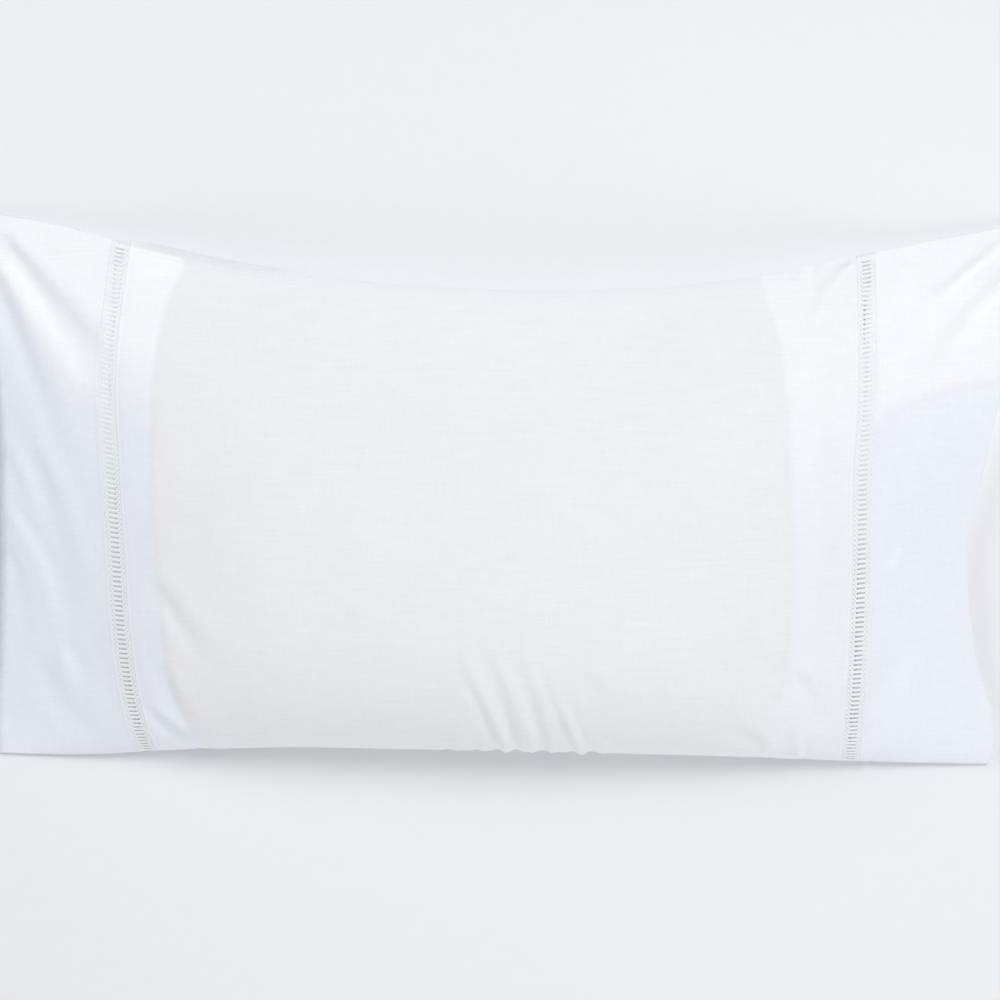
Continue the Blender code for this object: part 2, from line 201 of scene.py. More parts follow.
# Painted shade: the empty cotton is painted darker and bluer below a line, where it turns away from the
# light,
# and the change to it takes some length: the line's y and that length for each x, in mm.
COOL_SHADE_X = (-500, -473, -440, -400, -360, -300, 280, 345, 372, 432, 495)
COOL_SHADE_Y = (226, 198, 146, 100, 112, 90, 20, 30, 76, 97, 107)
COOL_SHADE_LENGTH = (30, 30, 30, 35, 60, 120, 180, 150, 24, 16, 16)

# A band of painted shade on the closed cuff, along the crease from its upper corner: its start, its end and
# half its width at each, in mm.
COOL_SHADE_BAND_ENDS = ((-475, 252), (-376, 143))
COOL_SHADE_BAND_HALF = (4, 13)
COOL_SHADE_BAND_SHARE = 0.8       # how dark the band's painted shade is
COOL_SHADE_RIGHT = 0.85           # how much painted shade the cotton takes at most, to the right of the middle

# Painted shade: the strip between the pillow and the right lace is darkened by a share of the colour of the
# cotton over the pillow. Near its two ends it has more: so much a metre, from a distance off the middle
# line on, over a length.
STRIP_SHADE_SHARE, STRIP_SHADE_GROWTH = 0.25, 4.0
STRIP_SHADE_END, STRIP_SHADE_END_LENGTH = 0.15, 0.08
PILLOW_OUTLINE = 6 * MM     # the width over which the filled cotton's colour gives way to the empty one's

# The light that comes through to the inside grows from one y to another. It ends between two more, which
# lie lower towards the open end, by a slope.
GLOW_FROM_Y, GLOW_FULL_Y = -0.10, 0.17
GLOW_END_Y, GLOW_DARK_Y, GLOW_SLOPE = 0.205, 0.215, 0.028

# The stretch of the upper edge where the back shows past the front. There the face is dropped and the edge
# pulled out, each from a place across and over a length of it.
LIP_MIDDLE, LIP_REACH = -0.270, 0.100
DROP_FROM, DROP_LENGTH = 0.978, 0.008
PULL_FROM, PULL_LENGTH = 0.982, 0.018
DROP, SINK = 0.9, 0.3       # shares of the bulge and of the lip's width that the edge there comes down by
LIP_ROWS_FROM, LIP_ROWS = 0.974, 14     # where the mesh's extra rows start there, and their number
LIP_PAST = 2.5 * MM         # the back's edge is painted in the front's shade from this far inside the sewn edge

# Steps of the ladder in one pitch: a slot, then a rung, with pin holes beside each.
LADDER_STEPS = 8
SLOT_STEPS, SLOT_PIN_STEPS = (0, 1, 2), (0, 1)
RUNG_PIN_STEPS, RUNG_TOP_STEPS = (4, 5), (4, 5, 6, 7)

# Lines of the lace, in mm outwards from a slot's end: a bar, a pin hole beside a rung, a bar, and a pin
# hole beside a slot. The edge beyond them is tucked under the cotton's rolled edge.
LACE_LINES = (0, 0.95, 1.8, 2.35, 3.4)
SLOT_COLUMNS, RUNG_PIN_COLUMNS, SLOT_PIN_COLUMNS = (5, 6, 7), (3, 9), (1, 11)
TUCK = 0.1 * MM
RUNG_PAST = 1 * MM          # a rung is rounded up to this far past the slot's ends
ROUND_PLACES = 1200         # places from edge to edge at which the length round a lace band is measured

# The meshes.
CROWDING = 0.6              # how much the rows crowd towards the two edges
FINE_CELL = 0.75 * MM       # beside the lace
MOUTH_CELL, MOUTH_STRIP = 0.8 * MM, 3 * MM      # fine cells, and how wide a strip has them
WELD = 0.01 * MM            # vertices nearer than this become one
LEAST_ROOM = 0.15 * MM      # half the gap between a sheet's two inner sides, at its least

FLOOR_HALF = 4.0            # half the floor's side
FLOOR_SHADE_Y = (0.28, 0.50)     # painted shade: the paper gets darker from one y to the other, farther from the lamps
SENSOR = 36.0               # width of the camera's sensor in mm
CAMERA_TARGET = (7 * MM, -8.4 * MM, 15 * MM)
CAMERA_REACH = 20.0         # the camera sees nothing past this distance

FRONT, BACK = 1, -1
OUTER, INNER = 0, 1
WHITE_LEVEL = 255


def srgb(code):
    """The linear colour of an sRGB hex value such as "#F4F5F8"."""
    levels = [int(code[i:i + 2], 16) / WHITE_LEVEL for i in (1, 3, 5)]
    return tuple(v / 12.92 if v <= 0.04045 else ((v + 0.055) / 1.055) ** 2.4 for v in levels)


# Sizes and colours that a user would change.

class ClothSettings(bpy.types.PropertyGroup):
    """The cotton's mesh, seams and colours."""
    cell: FloatProperty(name="Cell", description="Size of the mesh's cells", default=3.4 * MM,
                        min=1 * MM, unit="LENGTH")
    rows: IntProperty(name="Rows", description="Cells from one long edge to the other", default=170,
                      min=20)
    ply: FloatProperty(name="Ply", description="Thickness of a cuff's two plies of cotton",
                       default=0.9 * MM, unit="LENGTH")
    hem_height: FloatProperty(name="Hem height", default=0.5 * MM, unit="LENGTH",
                              description="How far the rolled edge beside the lace stands up")
    hem_width: FloatProperty(name="Hem width", description="Width of the rolled edge beside the lace",
                             default=3.0 * MM, unit="LENGTH")
    lip: FloatProperty(name="Lip", default=6.5 * MM, unit="LENGTH",
                       description="How far the back shows past the front's upper edge on the left")
    # The colour of the cotton over the pillow, which is also painted on the strip beside the right lace as
    # shade.
    filled: FloatVectorProperty(name="Filled cotton", description="Cotton with the pillow behind it",
                                default=srgb("#F0F1F4"), size=3, subtype="COLOR")
    empty: FloatVectorProperty(name="Empty cotton", description="Cotton with nothing behind it, at the top",
                               default=srgb("#FAFBFF"), size=3, subtype="COLOR")
    # Painted shade: the shaded copy of the empty cotton, darker and bluer, for where the cotton turns from
    # the light.
    cool_shade: FloatVectorProperty(name="Cool cotton", default=srgb("#F0F4FD"), size=3, subtype="COLOR",
                              description="Cotton with nothing behind it, at the bottom")
    # Painted shade: the back's edge past the front's upper edge is painted darker for the front's shade.
    back_edge_shade: FloatVectorProperty(name="Back edge", default=srgb("#EAEBF0"), size=3, subtype="COLOR",
                                   description="Cotton of the back's edge, in the front's shade")
    glow: FloatProperty(name="Glow", default=0.32, min=0,
                        description="Light through the cotton into the upper part of the case")
    low_glow: FloatProperty(name="Low glow", default=0.155, min=0,
                            description="The same in the lower part and in the upper corners")


class LaceSettings(bpy.types.PropertyGroup):
    """The ladder of the two lace bands."""
    pitch: FloatProperty(name="Pitch", description="From one rung of the ladder to the next",
                         default=4.75 * MM, min=2 * MM, unit="LENGTH")
    slot: FloatProperty(name="Slot", description="Half the length of a slot", default=4.4 * MM,
                        unit="LENGTH")
    margin: FloatProperty(name="Margin", description="Plain lace at each long edge", default=6 * MM,
                          unit="LENGTH")
    thread: FloatProperty(name="Thread", description="How far a rung is rounded up", default=0.4 * MM,
                          unit="LENGTH")
    colour: FloatVectorProperty(name="Lace", description="Colour of the lace's thread",
                                default=srgb("#FAFCFF"), size=3, subtype="COLOR")


class StageSettings(bpy.types.PropertyGroup):
    """The floor, the lights and the camera."""
    floor: FloatVectorProperty(name="Floor", description="Colour of the floor", default=srgb("#F2F3F6"),
                               size=3, subtype="COLOR")
    key: FloatProperty(name="Key", description="Power of the high soft light on the right",
                       default=31.0, unit="POWER")
    upper_left: FloatProperty(name="Upper left", description="Power of the soft light above on the left",
                              default=17.0, unit="POWER")
    lower_right: FloatProperty(name="Lower right", description="Power of the low soft light on the right",
                               default=11.0, unit="POWER")
    lower_left: FloatProperty(name="Lower left", description="Power of the low soft light on the left",
                              default=5.5, unit="POWER")
    lower: FloatProperty(name="Lower", description="Power of the soft light beside the lower edge",
                         default=7.0, unit="POWER")
    sky: FloatProperty(name="Sky", description="Strength of the light from all round", default=0.40)
    distance: FloatProperty(name="Camera distance", description="From the camera to the case",
                            default=2.7, unit="LENGTH")
    tilt: FloatProperty(name="Camera tilt", description="How far the camera leans towards the upper edge",
                        default=math.radians(5), unit="ROTATION")
    width: FloatProperty(name="View width", description="What the camera takes in from side to side",
                         default=0.983, unit="LENGTH")


# The shape of the case.

def smooth(at, knots, values):
    """A curve through the knots that doesn't swing past them. values is one per knot, or a row of them."""
    at = np.asarray(at, float)
    knots = np.asarray(knots, float)
    values = np.asarray(values, float)
    values = np.broadcast_to(values.reshape(len(knots), -1), (len(knots), at.size))
    rise = np.diff(values, axis=0) / np.diff(knots)[:, None]
    same_way = rise[:-1] * rise[1:] > 0
    total = np.where(same_way, rise[:-1] + rise[1:], 1.0)
    slope = np.vstack([rise[:1], np.where(same_way, 2 * rise[:-1] * rise[1:] / total, 0.0), rise[-1:]])
    i = np.clip(np.searchsorted(knots, at) - 1, 0, len(knots) - 2)
    column = np.arange(at.size)
    gap = knots[i + 1] - knots[i]
    t = np.clip((at - knots[i]) / gap, 0, 1)
    return (
        (1 + 2 * t) * (1 - t) ** 2 * values[i, column]
        + t * (1 - t) ** 2 * gap * slope[i, column]
        + t * t * (3 - 2 * t) * values[i + 1, column]
        + t * t * (t - 1) * gap * slope[i + 1, column]
    )


def bowed(along, across):
    """The x of a place on the case: its place along, moved by the bow of the upright line it is on."""
    lines = [smooth(across, BOW_ACROSS, bows) for _, bows in BOW_LINES]
    return along + MM * smooth(along, [line[0] for line in BOW_LINES], np.array(lines))


def height(along, column):
    """One column of the table of heights, at a place along: 1 upper edge, 2 lower edge, 3 crown."""
    return MM * smooth(along, [row[0] for row in HEIGHTS], [row[column] for row in HEIGHTS])


def plan(along, across):
    """x and y of a place on the case, seen from above."""
    upper = MM * smooth(bowed(along, np.ones_like(across)) / MM, UPPER_EDGE_X, UPPER_EDGE_Y)
    lower = MM * smooth(bowed(along, -np.ones_like(across)) / MM, LOWER_EDGE_X, LOWER_EDGE_Y)
    return bowed(along, across), lower + (upper - lower) * (across + 1) / 2


def arch(across):
    """The shape of the face from edge to edge, 1 at its crown and 0 at both edges."""
    above = across > CROWN_ACROSS
    reach = np.where(above, 1 - CROWN_ACROSS, 1 + CROWN_ACROSS)
    out = np.clip(np.abs(across - CROWN_ACROSS) / reach, 0, 1)
    upper = (1 - out ** UPPER_ARCH[0]) ** UPPER_ARCH[1]
    lower = (1 - out ** LOWER_ARCH[0]) ** LOWER_ARCH[1]
    return np.where(above, upper, lower)


def swelling(share):
    """A soft growth from 0 to 1 as a share goes from 0 to 1."""
    return np.sin(np.pi / 2 * np.clip(share, 0, 1)) ** 2


def fold_height(x, y):
    """What the creases and ridges add to the face at x, y.

    Each of them is partly a step in the cloth, whose upper or right side stands higher beside a crease and
    lower beside a ridge.
    """
    total = np.zeros_like(x)
    steps = np.linspace(0, 1, FOLD_STEPS + 1)
    for start, middle, end, width, rise in FOLDS:
        start, middle, end = (MM * np.array(p, float) for p in (start, middle, end))
        sideways = np.array([start[1] - end[1], end[0] - start[0]]) / np.linalg.norm(end - start)
        sideways = sideways * np.sign(sideways @ HIGH_SIDE)
        # A quadratic curve that passes through the middle point.
        handle = 2 * middle - (start + end) / 2
        curve = [(1 - t) ** 2 * start + 2 * t * (1 - t) * handle + t * t * end for t in steps]
        nearest = np.full_like(x, np.inf)
        run, up_side = np.zeros_like(x), np.zeros_like(x)
        for i, (a, b) in enumerate(zip(curve[:-1], curve[1:])):
            way = b - a
            share = np.clip(((x - a[0]) * way[0] + (y - a[1]) * way[1]) / (way @ way), 0, 1)
            right, up = x - a[0] - share * way[0], y - a[1] - share * way[1]
            nearer = right ** 2 + up ** 2 < nearest
            run = np.where(nearer, (i + share) / FOLD_STEPS, run)
            up_side = np.where(nearer, right * sideways[0] + up * sideways[1], up_side)
            nearest = np.minimum(nearest, right ** 2 + up ** 2)
        if abs(start[0]) > HELD_X or not HELD_LOWER_Y < start[1] < HELD_UPPER_Y:
            growth = np.clip(run / HELD_RUN + HELD_START, 0, 1)
        else:
            growth = swelling(run / FREE_RUN)
        spread = MM * width * (FOLD_SPREAD + FOLD_WIDENING * run)
        strength = growth * (1 - run ** 2) ** FOLD_FADE
        form = 1 - STEP_SHARE - STEP_SLOPE * STEP_SHARE * up_side / spread
        total += MM * rise * strength * form * np.exp(-nearest / spread ** 2)
    return total


def wavy(x, y, waves):
    """The sum of waves of noise, at each x, y."""
    return np.array([sum(rise * noise.noise(Vector((a * along_x, b * along_y, place)))
                         for rise, along_x, along_y, place in waves) for a, b in zip(x, y)])


def unevenness(x, y):
    """The small waves that cotton has where nothing pulls it flat, in metres."""
    return MM * wavy(x, y, SMALL_WAVES)


def streaks(x, y, lean, rise):
    """Long soft waves that run across the case, leaning by an angle, and rise metres high."""
    run = x * math.sin(lean) + y * math.cos(lean)
    side = x * math.cos(lean) - y * math.sin(lean)
    return rise * wavy(run, side, LONG_WAVES)


def pillow_inside(x, y):
    """How far a place is inside the pillow's two ends, in metres. It is negative outside them."""
    left = MM * smooth(y / MM, PILLOW_END_Y, PILLOW_LEFT_X)
    right = MM * smooth(y / MM, PILLOW_END_Y, PILLOW_RIGHT_X)
    return np.minimum(x - left, right - x)


def pillow_step(x, y):
    """The cotton steps down over the pillow's end and sags between it and the lace."""
    inside = pillow_inside(x, y)
    step = STEP_DOWN * (np.tanh(inside / STEP_LENGTH) - 1)
    return step - SAG * np.exp(-((inside + SAG_MIDDLE) / SAG_REACH) ** 2)


def lip_stretch(x):
    """Whether the back shows past the front's upper edge at x, 0 to 1."""
    return np.exp(-((x - LIP_MIDDLE) / LIP_REACH) ** 4)


def upper_lip(along, across):
    """How far the face is dropped, and how far the edge is pulled out, to show the back's edge: 0 to 1."""
    dropped = np.clip((across - DROP_FROM) / DROP_LENGTH, 0, 1)
    pulled = np.clip((across - PULL_FROM) / PULL_LENGTH, 0, 1)
    return lip_stretch(along) * dropped, lip_stretch(along) * pulled


def case_surface(along, across, face, relief=0.0, lip=0.0):
    """Points of the outside of the case, one for each place.

    face is FRONT or BACK, or one for each place. relief is added to the face's height, and lip is how far
    the back shows past the front's edge.
    """
    along, across = np.broadcast_arrays(np.asarray(along, float), np.asarray(across, float))
    x, y = plan(along, across)
    share = (across + 1) / 2
    edge = height(along, 2) * (1 - share) + height(along, 1) * share
    dropped, pulled = upper_lip(along, across)
    bulge = height(along, 3) * arch(across) * (1 - DROP * dropped * (lip > 0))
    folds = fold_height(x, y)
    deepest = FOLD_DEPTH * bulge + LEAST_DEPTH
    on_face = (np.maximum(folds, 0) * bulge / (bulge + FOLD_ROOM)
               - deepest * np.tanh(np.maximum(-folds, 0) / deepest)
               + relief * bulge / (bulge + RELIEF_ROOM))
    near_edge = np.clip((np.abs(across) - EDGE_ZONE) / (1 - EDGE_ZONE), 0, 1) ** 2
    on_edge = folds * near_edge * edge / (edge + EDGE_ROOM) - SINK * lip * pulled
    y = y + np.sign(across) * EDGE_PULL * folds * near_edge + lip * pulled
    under = np.clip((np.abs(across) - FLAT_ACROSS) / (1 - FLAT_ACROSS), 0, 1)
    back = edge * (1 - np.sqrt(1 - under ** 2))
    return np.column_stack([x, y, np.where(np.asarray(face) > 0, edge + bulge + on_face, back) + on_edge])


def lining(along, across, face, ply, relief=0.0):
    """The same for the inside of a sheet that follows the case, which stops short of the sewn edges.

    From twice the width of a seam inwards, each place is right under the one on the outside, so that a hole
    goes straight through.
    """
    half = (plan(along, np.ones_like(across))[1] - plan(along, -np.ones_like(across))[1]) / 2
    at_seam = np.isclose(np.abs(across), 1)
    inset = (1 - np.abs(across)) * half
    across = np.sign(across) * (1 - np.maximum(inset, EDGE_SEAM + inset / 2) / half)
    front = case_surface(along, across, FRONT, relief)
    back = case_surface(along, across, BACK)
    middle = (front[:, 2] + back[:, 2]) / 2
    room = np.maximum((front[:, 2] - back[:, 2]) / 2 - ply, LEAST_ROOM)
    front[:, 2] = middle + np.where(at_seam, 0, room) * face
    return front


# Meshes.

def stretches(start, parts):
    """Places from start on. Each part has where it ends and about how far apart its places are."""
    places = [start]
    for stop, step in parts:
        count = max(1, round((stop - places[-1]) / step))
        places += list(np.linspace(places[-1], stop, count + 1)[1:])
    return np.array(places)


def spread_rows(count):
    """Places across, from -1 to 1, which crowd towards the two edges."""
    part = np.linspace(0, 1, count + 1)
    return (1 - CROWDING) * (2 * part - 1) - CROWDING * np.cos(np.pi * part)


def around(count):
    """Places round the case from the lower edge, over the face to the upper edge and back underneath."""
    places = spread_rows(count)[:-1]
    return [(p, FRONT) for p in places] + [(-p, BACK) for p in places] + [(-1.0, BACK)]


def two_layers(columns, rows, is_hole=None):
    """A grid of cells with a second layer and walls, each vertex at (column, row, layer)."""
    bm = bmesh.new()
    bmesh.ops.create_grid(bm, x_segments=columns, y_segments=rows, size=1)
    for vert in bm.verts:
        vert.co = Vector(((vert.co.x + 1) / 2 * columns, (vert.co.y + 1) / 2 * rows, OUTER))
    if is_hole:
        holes = [f for f in bm.faces if is_hole(*(int(c) for c in f.calc_center_median()[:2]))]
        bmesh.ops.delete(bm, geom=holes, context="FACES")
    made = bmesh.ops.extrude_face_region(bm, geom=bm.faces[:])
    for vert in made["geom"]:
        if isinstance(vert, bmesh.types.BMVert):
            vert.co.z = INNER
    return bm


def indices(bm):
    """(column, row, layer) of every vertex, as three arrays of whole numbers."""
    return np.rint(np.array([v.co for v in bm.verts])).astype(int).T


def finish_piece(bm, name, points, materials, node):
    """Puts the vertices in place, closes the mesh and makes it a piece that stands for a solid."""
    for vert, point in zip(bm.verts, points):
        vert.co = point
    bmesh.ops.remove_doubles(bm, verts=bm.verts[:], dist=WELD)
    bmesh.ops.recalc_face_normals(bm, faces=bm.faces[:])
    mesh = bpy.data.meshes.new(name)
    bm.to_mesh(mesh)
    bm.free()
    mesh.shade_smooth()
    for material in materials:
        mesh.materials.append(material)
    piece = bpy.data.objects.new(name, mesh)
    bpy.context.scene.collection.objects.link(piece)
    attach(piece, "root")
    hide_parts(node)
    return piece


def rolled_edge(distance, cloth):
    """How far the cotton stands up beside the lace, where its edge is rolled and whipped down."""
    roll = np.sin(np.pi * np.clip(distance / cloth.hem_width, 0, 1)) ** 2
    whipped = np.exp(-((distance - cloth.hem_width - WHIPPING_PAST) / WHIPPING_WIDTH) ** 2)
    return cloth.hem_height * roll - WHIPPING_SINK * whipped


def cool_shade_band(x, y):
    """How far a place is in the band of painted shade, from the closed cuff's upper corner to the lace: 0
    to 1.
    """
    start, end = MM * np.array(COOL_SHADE_BAND_ENDS, float)
    way = end - start
    run = ((x - start[0]) * way[0] + (y - start[1]) * way[1]) / (way @ way)
    aside = np.hypot(x - start[0] - run * way[0], y - start[1] - run * way[1])
    half = MM * np.interp(run, (0, 1), COOL_SHADE_BAND_HALF)
    return np.where((run > 0) & (x < LEFT_LACE), np.exp(-(aside / half) ** 2), 0.0)


def mark_cotton(mesh, lip):
    """Stores what the material reads, from 0 to 1 at each vertex.

    "filled" tells whether the pillow is behind it, and holds painted shade on the strip beside the
    right lace too. "cool_shade" is painted shade, darker and bluer, where nothing is behind the cotton, and
    "back_edge_shade" is painted shade on the back's edge, where that shows past the front's.
    """
    co = np.empty(len(mesh.vertices) * 3)
    mesh.vertices.foreach_get("co", co)
    x, y, _ = co.reshape(-1, 3).T
    sewn_y = MM * smooth(x / MM, UPPER_EDGE_X, UPPER_EDGE_Y)
    # Painted shade on the back's edge, where it shows past the front's.
    past = np.clip((y - sewn_y + LIP_PAST) / MM, 0, 1) * lip_stretch(x) * (lip > 0)
    # Painted shade on the strip beside the right lace, darker near its two ends.
    at_end = np.clip(np.abs(y) - STRIP_SHADE_END, 0, STRIP_SHADE_END_LENGTH)
    strip = ((x > 0) & (x < RIGHT_LACE)) * (STRIP_SHADE_SHARE + STRIP_SHADE_GROWTH * at_end)
    # Painted shade below a line, and in a band along a crease of the closed cuff.
    cool_shade_y, cool_shade_length = MM * smooth(x / MM, COOL_SHADE_X, COOL_SHADE_Y), MM * smooth(x / MM, COOL_SHADE_X, COOL_SHADE_LENGTH)
    below = np.clip((cool_shade_y - y) / cool_shade_length + 0.5, 0, np.where(x > 0, COOL_SHADE_RIGHT, 1))
    for name, values in (
        ("filled", np.clip(pillow_inside(x, y) / PILLOW_OUTLINE + 0.5, strip, 1)),
        ("cool_shade", np.maximum(below, COOL_SHADE_BAND_SHARE * cool_shade_band(x, y))),
        ("back_edge_shade", past),
    ):
        attribute = mesh.attributes.new(name, "FLOAT", "POINT")
        attribute.data.foreach_set("value", values)


# Materials.

def add_node(tree, kind, inputs=None, **settings):
    """Adds a node. inputs gives a socket, by name or number, its value or the output to link to it."""
    node = tree.nodes.new(kind)
    for name, value in settings.items():
        setattr(node, name, value)
    for name, value in (inputs or {}).items():
        if isinstance(value, bpy.types.NodeSocket):
            tree.links.new(value, node.inputs[name])
        else:
            node.inputs[name].default_value = value
    return node


def new_material(name):
    """A material with an empty node tree, and that tree."""
    material = bpy.data.materials.new(name)
    material.use_nodes = True
    material.node_tree.nodes.clear()
    return material, material.node_tree


def rgba(colour):
    """A colour with its alpha, as a colour socket takes it."""
    return (*colour, 1.0)


def cotton_percale(name, cloth, translucency):
    """Cotton percale, a matt plain weave of fine threads with a few long slubs across it.

    Its threads are 0.35 mm apart, too fine to show, so the grain is drawn at about 1.5 mm. It is warm
    white over the pillow, and cooler where it has nothing behind it. There, painted shade makes it darker
    and bluer below a line on the cuffs and towards the lower edge. Painted shade also darkens the strip
    beside the right lace and the back's edge past the upper edge.
    """
    material, tree = new_material(name)
    place = add_node(tree, "ShaderNodeTexCoord").outputs["Object"]
    weft = add_node(tree, "ShaderNodeMapping", {"Vector": place, "Scale": (26, 640, 120)})
    warp = add_node(tree, "ShaderNodeMapping", {"Vector": place, "Scale": (620, 50, 120)})
    slubs = add_node(tree, "ShaderNodeTexNoise", {"Vector": weft.outputs[0], "Scale": 1, "Detail": 3})
    ends = add_node(tree, "ShaderNodeTexNoise", {"Vector": warp.outputs[0], "Scale": 1, "Detail": 2})
    cloudy = add_node(tree, "ShaderNodeTexNoise", {"Vector": place, "Scale": 9, "Detail": 4})
    weave = add_node(tree, "ShaderNodeMath", {0: ends.outputs["Fac"], 1: 0.7, 2: slubs.outputs["Fac"]},
                     operation="MULTIPLY_ADD")
    is_filled_or_shade = add_node(tree, "ShaderNodeAttribute", attribute_name="filled")
    # Painted shade: the empty cotton gives way to its darker, bluer shaded copy.
    is_cool_shade = add_node(tree, "ShaderNodeAttribute", attribute_name="cool_shade")
    bare_with_shade = add_node(tree, "ShaderNodeMix",
                    {0: is_cool_shade.outputs["Fac"], 6: rgba(cloth.empty), 7: rgba(cloth.cool_shade)},
                    data_type="RGBA")
    face = add_node(tree, "ShaderNodeMix",
                    {0: is_filled_or_shade.outputs["Fac"], 6: bare_with_shade.outputs[2], 7: rgba(cloth.filled)},
                    data_type="RGBA")
    # Painted shade on the back's edge.
    is_back_edge_shade = add_node(tree, "ShaderNodeAttribute", attribute_name="back_edge_shade")
    colour = add_node(tree, "ShaderNodeMix",
                      {0: is_back_edge_shade.outputs["Fac"], 6: face.outputs[2], 7: rgba(cloth.back_edge_shade)},
                      data_type="RGBA")
    shade = add_node(tree, "ShaderNodeMapRange", {
        "Value": weave.outputs[0], "From Min": 0.60, "From Max": 1.10, "To Min": 0.970, "To Max": 1.017})
    patch = add_node(tree, "ShaderNodeMapRange", {
        "Value": cloudy.outputs["Fac"], "From Min": 0.3, "From Max": 0.7, "To Min": 0.994, "To Max": 1.006})
    both = add_node(tree, "ShaderNodeMath", {0: shade.outputs[0], 1: patch.outputs[0]},
                    operation="MULTIPLY")
    toned = add_node(tree, "ShaderNodeVectorMath", {0: colour.outputs[2], "Scale": both.outputs[0]},
                     operation="SCALE")
    rough = add_node(tree, "ShaderNodeMapRange",
                     {"Value": weave.outputs[0], "To Min": 0.82, "To Max": 0.92})
    bump = add_node(tree, "ShaderNodeBump",
                    {"Height": weave.outputs[0], "Strength": 0.12, "Distance": 0.4 * MM})
    shader = add_node(tree, "ShaderNodeBsdfPrincipled", {
        "Base Color": toned.outputs[0], "Roughness": rough.outputs[0], "Normal": bump.outputs[0],
        "Specular IOR Level": 0.2, "Sheen Weight": 0.12, "Sheen Roughness": 0.6})
    surface = shader
    if translucency:
        through = add_node(tree, "ShaderNodeBsdfTranslucent",
                           {"Color": toned.outputs[0], "Normal": bump.outputs[0]})
        surface = add_node(tree, "ShaderNodeMixShader",
                           {0: translucency, 1: shader.outputs[0], 2: through.outputs[0]})
    add_node(tree, "ShaderNodeOutputMaterial", {"Surface": surface.outputs[0]})
    return material


def percale_inside(name, cloth):
    """The inside of the case. It glows a little, for the daylight that thin cotton lets through.

    The glow fades towards the lower edge, and stops short of the upper edge.
    """
    material, tree = new_material(name)
    place = add_node(tree, "ShaderNodeTexCoord").outputs["Object"]
    grain = add_node(tree, "ShaderNodeTexNoise", {"Vector": place, "Scale": 300, "Detail": 2})
    shade = add_node(tree, "ShaderNodeMapRange",
                     {"Value": grain.outputs["Fac"], "To Min": 0.96, "To Max": 1.03})
    toned = add_node(tree, "ShaderNodeVectorMath", {0: cloth.filled, "Scale": shade.outputs[0]},
                     operation="SCALE")
    axes = add_node(tree, "ShaderNodeSeparateXYZ", {"Vector": place})
    rising = add_node(tree, "ShaderNodeMapRange", {
        "Value": axes.outputs["Y"], "From Min": GLOW_FROM_Y, "From Max": GLOW_FULL_Y,
        "To Min": cloth.low_glow, "To Max": cloth.glow})
    leaning = add_node(tree, "ShaderNodeMath",
                       {0: axes.outputs["X"], 1: GLOW_SLOPE, 2: axes.outputs["Y"]},
                       operation="MULTIPLY_ADD")
    cornered = add_node(tree, "ShaderNodeMapRange", {
        "Value": leaning.outputs[0], "From Min": GLOW_END_Y, "From Max": GLOW_DARK_Y,
        "To Min": cloth.glow, "To Max": cloth.low_glow})
    glow = add_node(tree, "ShaderNodeMath", {0: rising.outputs[0], 1: cornered.outputs[0]},
                    operation="MINIMUM")
    shader = add_node(tree, "ShaderNodeBsdfPrincipled", {
        "Base Color": toned.outputs[0], "Roughness": 0.9, "Specular IOR Level": 0.2,
        "Emission Color": toned.outputs[0], "Emission Strength": glow.outputs[0]})
    add_node(tree, "ShaderNodeOutputMaterial", {"Surface": shader.outputs[0]})
    return material


def lace_thread(name, colour):
    """Spun cotton thread, worked into a ladder: matt, and brighter than the cloth because it is denser."""
    material, tree = new_material(name)
    place = add_node(tree, "ShaderNodeTexCoord").outputs["Object"]
    fibre = add_node(tree, "ShaderNodeTexNoise", {"Vector": place, "Scale": 900, "Detail": 2})
    shade = add_node(tree, "ShaderNodeMapRange",
                     {"Value": fibre.outputs["Fac"], "To Min": 0.95, "To Max": 1.03})
    toned = add_node(tree, "ShaderNodeVectorMath", {0: colour, "Scale": shade.outputs[0]},
                     operation="SCALE")
    bump = add_node(tree, "ShaderNodeBump",
                    {"Height": fibre.outputs["Fac"], "Strength": 0.3, "Distance": 0.3 * MM})
    shader = add_node(tree, "ShaderNodeBsdfPrincipled", {
        "Base Color": toned.outputs[0], "Roughness": 0.85, "Normal": bump.outputs[0],
        "Specular IOR Level": 0.2, "Sheen Weight": 0.1})
    through = add_node(tree, "ShaderNodeBsdfTranslucent", {"Color": toned.outputs[0]})
    mixed = add_node(tree, "ShaderNodeMixShader", {0: 0.05, 1: shader.outputs[0], 2: through.outputs[0]})
    add_node(tree, "ShaderNodeOutputMaterial", {"Surface": mixed.outputs[0]})
    return material


